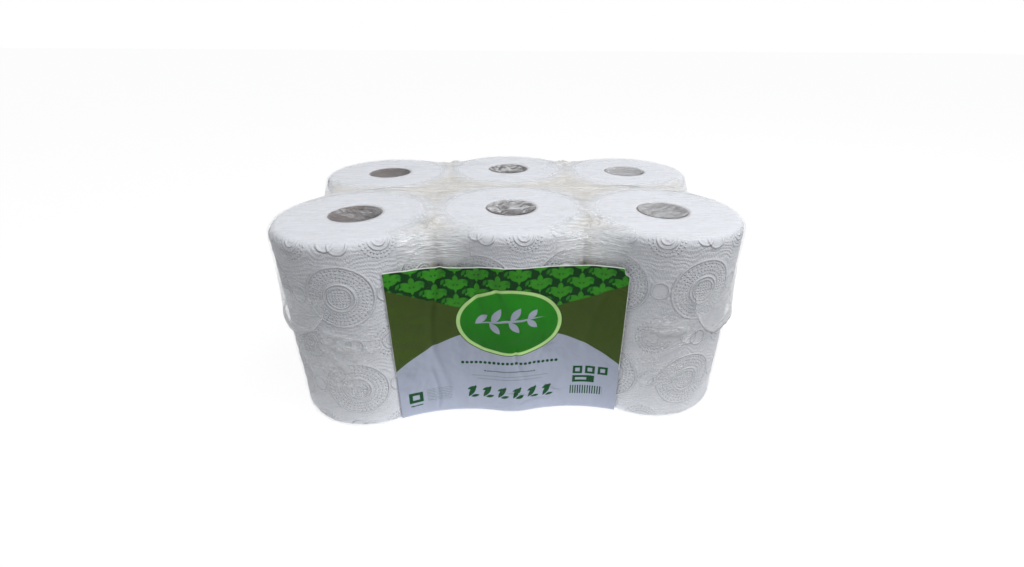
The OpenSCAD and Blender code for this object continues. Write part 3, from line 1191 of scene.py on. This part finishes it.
def labelPrint():
    group, given, made = newGroup("labelPrint", ["Vector"], ["Color"])
    leaf = printedLeaf()
    spot = given["Vector"] * (100, 100, 0)  # in mm from the middle of the base edge
    part = split(spot)
    x, z = part["X"], part["Y"]

    def paint(colour, mask, ink):
        return mixColour(mask, colour, colours[ink])

    def above(line):
        return ramp(z - line, 3.0, 0.5)

    def parabola(at, bend):
        return x * x * bend + at

    def box(cx, cz, halfWide, halfTall):
        level = band(x, cx - halfWide, cx + halfWide, 0.4)
        return level * band(z, cz - halfTall, cz + halfTall, 0.4)

    def ellipse(wide, tall, cx=0.5, cz=117.0):
        away = (spot - (cx, cz, 0)) / (wide, tall, 1)
        return ramp(1.0 - vectorCalc("LENGTH", away), 90.0, 0.5)

    def leaves(vector, table):
        total = 0.0
        for px, pz, turn, length, wide in table:
            place, turn = (px, pz, 0), math.radians(turn)
            drawn = useGroup(leaf, Vector=vector, Place=place, Turn=turn, Length=length, Width=wide)
            total = calc("MAXIMUM", drawn["Mask"], total)
        return total

    def repeated(wide, tall, shiftX=0.0, shiftZ=0.0):
        # Local place in a repeat, every second column half a step higher
        far = x + (shiftX + 240.0)
        column = calc("FLOOR", far / wide)
        lift = calc("MODULO", column, 2.0) * (tall / 2)
        high = z + (shiftZ + 240.0) + lift
        return join(calc("MODULO", far, wide) - wide / 2, calc("MODULO", high, tall) - tall / 2)

    def disc(vector, radius):
        return ramp(radius - vectorCalc("LENGTH", vector), 3.0, 0.5)

    def inRow(cz, pitch):
        # Local place in a row of equal steps, centred on the label
        local = calc("MODULO", x + (40 * pitch - 0.5), pitch) - pitch / 2
        return join(local, z - cz)

    colour = mixColour(above(parabola(110.0, -0.0034)), colours["paper"], colours["olive"])

    # Leaf sprigs on the dark band along the top
    sprig = leaves(repeated(20.0, 20.0), [
        (0, -9.5, 90, 11, 1.6), (0, -6, 38, 12, 2.5), (0, -6, 142, 12, 2.5),
        (0, 0, 28, 10.5, 2.3), (0, 0, 152, 10.5, 2.3), (0, 1, 90, 9.0, 2.6),
    ])
    filler = leaves(repeated(20.0, 20.0, 10.0, 3.0), [
        (-4, 2, 60, 7, 1.5), (4, 2, 120, 7, 1.5), (0, -8, 90, 6, 1.8),
    ])
    berries = disc(repeated(10.0, 10.0, 5.0, 6.0), 1.3)
    onBand = above(parabola(129.0, 0.0024))
    colour = paint(colour, onBand, "deepGreen")
    for mask, ink in ((filler, "midGreen"), (berries, "leafGreen"), (sprig, "leafGreen")):
        colour = paint(colour, mask * onBand, ink)

    # Oval with a pale rim and a plain sprig
    colour = paint(colour, ellipse(53.0, 38.8), "deepGreen")
    colour = paint(colour, ellipse(52.2, 38.0), "rim")
    shade = ramp(z, 1 / 70.0, -85.0 / 70.0)
    oval = mixColour(shade, colours["ovalDeep"], colours["ovalGreen"])
    colour = mixColour(ellipse(48.4, 34.6), colour, oval)
    colour = paint(colour, leaves(spot, [
        (-33, 116, 6, 68, 1.3), (-17, 117, 60, 19, 3.9), (-19, 117, -52, 16, 3.6),
        (2, 120, 57, 18, 3.7), (0, 119, -50, 16, 3.6), (19, 121, 50, 14, 3.4),
        (18, 121, -44, 14, 3.2), (-33, 116, 40, 16, 3.4),
    ]), "paper")

    # Plain rows of dots and leaves where the paper is light
    for cz, pitch, radius, halfWide in (
        (68.5, 4.6, 1.7, 50.6), (58.0, 3.0, 0.9, 27.0),
        (51.5, 2.0, 0.45, 40.0), (47.5, 2.0, 0.45, 34.0),
    ):
        dots = disc(inRow(cz, pitch), radius)
        colour = paint(colour, dots * box(0.5, cz, halfWide, radius + 1), "ink")
    pairs = leaves(inRow(31.0, 15.8), [
        (-4.5, -8.5, 62, 18, 2.6), (-5.5, 1.5, 20, 11, 2.0), (-2.0, -8.5, 18, 9.5, 2.0),
    ])
    colour = paint(colour, pairs * box(0.5, 31.0, 47.4, 10), "ink")

    # Small plain blocks in the lower corners: middle, half width, half height
    for ink, blocks in {
        "ink": (
            (-98.0, 28.0, 7.0, 6.5), (-98.0, 17.5, 6.0, 0.7), (72.0, 55.5, 5.0, 5.0),
            (85.0, 55.5, 5.0, 5.0), (98.0, 55.5, 5.0, 5.0), (78.5, 43.5, 11.5, 4.5),
        ),
        "paper": (
            (72.0, 55.5, 2.4, 2.4), (85.0, 55.5, 2.4, 2.4), (98.0, 55.5, 2.4, 2.4),
            (-98.0, 28.0, 3.4, 3.0), (76.0, 43.5, 6.0, 1.6),
        ),
    }.items():
        for block in blocks:
            colour = paint(colour, box(*block), ink)
    broken = ramp(noiseNode(spot * (0.9, 0.5, 0), 1.0, 1.0), 6.0, -2.3)
    hair = ramp(wave("SINE", z, 2.1), 2.0, -0.6) * broken
    colour = paint(colour, hair * box(-74.0, 28.0, 13.0, 8.4) * 0.7, "ink")
    bars = ramp(wave("SINE", x, 2.6), 2.0, 0.5)
    colour = paint(colour, bars * box(82.0, 29.0, 17.0, 5.5), "ink")

    # Bare paper along the cut edges
    printed = box(0.0, 90.0, labelWidth / mm / 2 - 0.5, labelTop / mm - 90.0 - 0.9)
    printed = calc("MAXIMUM", printed, calc("LESS_THAN", z, 60.0))
    plug(mixColour(printed, colours["edge"], colour), made["Color"])
    return group


def labelMaterial():
    material, tree, out = newMaterial("printedPaper")
    uv = uvOf(tree, "printed")
    colour = useGroup(labelPrint(), Vector=uv)["Color"]
    bare = ramp(attributeOf(tree, "torn"), 4.0, -0.8)
    colour = mixColour(bare, colour, colours["edge"])
    soft = noiseNode(uv, 2.2, 3.0, 0.6, 0.4)
    principled(out, colour, 0.42, Specular_IOR_Level=0.12, Normal=newBump(soft, 0.006))
    return material


labelPiece = addPiece("label", labelMesh(), "label", labelMaterial())
addWall(labelPiece, label["wall"], -1)
print("label printed")


# Floor, backdrop and light

light = {
    "skyTop": 0.42,
    "skySide": 0.32,
    "key": 28.5,
    "keySize": 1.1,
    "keyPlace": (0.85, -0.65, 2.0),
    "floorSide": 60,
    "floorNear": 0.80,  # how much light the floor gives back beside the pack and far from it
    "floorFar": 0.28,
    "floorGlow": 0.62,  # light of its own beside the pack, which brightens the base
    "white": 1.08,
    "shadowShare": 0.14,  # how much of the floor's own shading the camera sees
    "skyColour": (0.97, 0.985, 1.0, 1),
}
white = (1, 1, 1, 1)


def seenDirectly(tree):
    path = newNode(tree, "LightPath").outputs
    seen = [Wire(path["Is %s Ray" % kind]) for kind in ("Camera", "Glossy", "Transmission")]
    return calc("MAXIMUM", calc("MAXIMUM", seen[0], seen[1]), seen[2])


def mixShaders(tree, share, first, second):
    mix = newNode(tree, "MixShader", Fac=share)
    plug(first.outputs[0], mix.inputs[1])
    plug(second.outputs[0], mix.inputs[2])
    return mix


def addFloor():
    mesh = gridMesh("floor", 1, 1)[0]
    writePoints(mesh, readPoints(mesh) * light["floorSide"])
    floor = bpy.data.objects.new("floor", mesh)
    bpy.context.collection.objects.link(floor)
    floor.location.z = -0.0002
    material, tree, out = newMaterial("paleFloor")
    around = objectPoint(tree) * (1.0, 1.35, 0)
    near = ramp(vectorCalc("LENGTH", around), -5.0, 2.2)
    grey = near * (light["floorNear"] - light["floorFar"]) + light["floorFar"]
    ground = newNode(tree, "BsdfDiffuse", Color=grey)
    glow = newNode(tree, "Emission", Color=white, Strength=near * light["floorGlow"])
    lit = newNode(tree, "AddShader")
    plug(ground.outputs[0], lit.inputs[0])
    plug(glow.outputs[0], lit.inputs[1])
    plain = newNode(tree, "BsdfDiffuse", Color=(0.85, 0.85, 0.85, 1))
    bright = newNode(tree, "Emission", Color=white, Strength=light["white"])
    sight = mixShaders(tree, 1 - light["shadowShare"], plain, bright)
    plug(mixShaders(tree, seenDirectly(tree), lit, sight).outputs[0], out.inputs["Surface"])
    mesh.materials.append(material)


def addSky():
    world = bpy.data.worlds.new("studio")
    bpy.context.scene.world = world
    world.use_nodes = True
    tree = world.node_tree
    tree.nodes.clear()
    out = newNode(tree, "OutputWorld")
    rise = calc("MAXIMUM", split(outputOf(tree, "TexCoord", "Generated"))["Z"], 0.0)
    strength = rise * (light["skyTop"] - light["skySide"]) + light["skySide"]
    sky = newNode(tree, "Background", Color=light["skyColour"], Strength=strength)
    bright = newNode(tree, "Background", Color=white)
    plug(mixShaders(tree, seenDirectly(tree), sky, bright).outputs[0], out.inputs["Surface"])


def addKey():
    data = bpy.data.lights.new("key", "AREA")
    data.energy = light["key"]
    data.size = light["keySize"]
    lamp = bpy.data.objects.new("key", data)
    bpy.context.collection.objects.link(lamp)
    lamp.location = light["keyPlace"]
    aim = Vector((0, 0, 0.1)) - lamp.location
    lamp.rotation_euler = aim.to_track_quat("-Z", "Y").to_euler()


addFloor()
addSky()
addKey()
bpy.context.scene.view_settings.view_transform = "Standard"
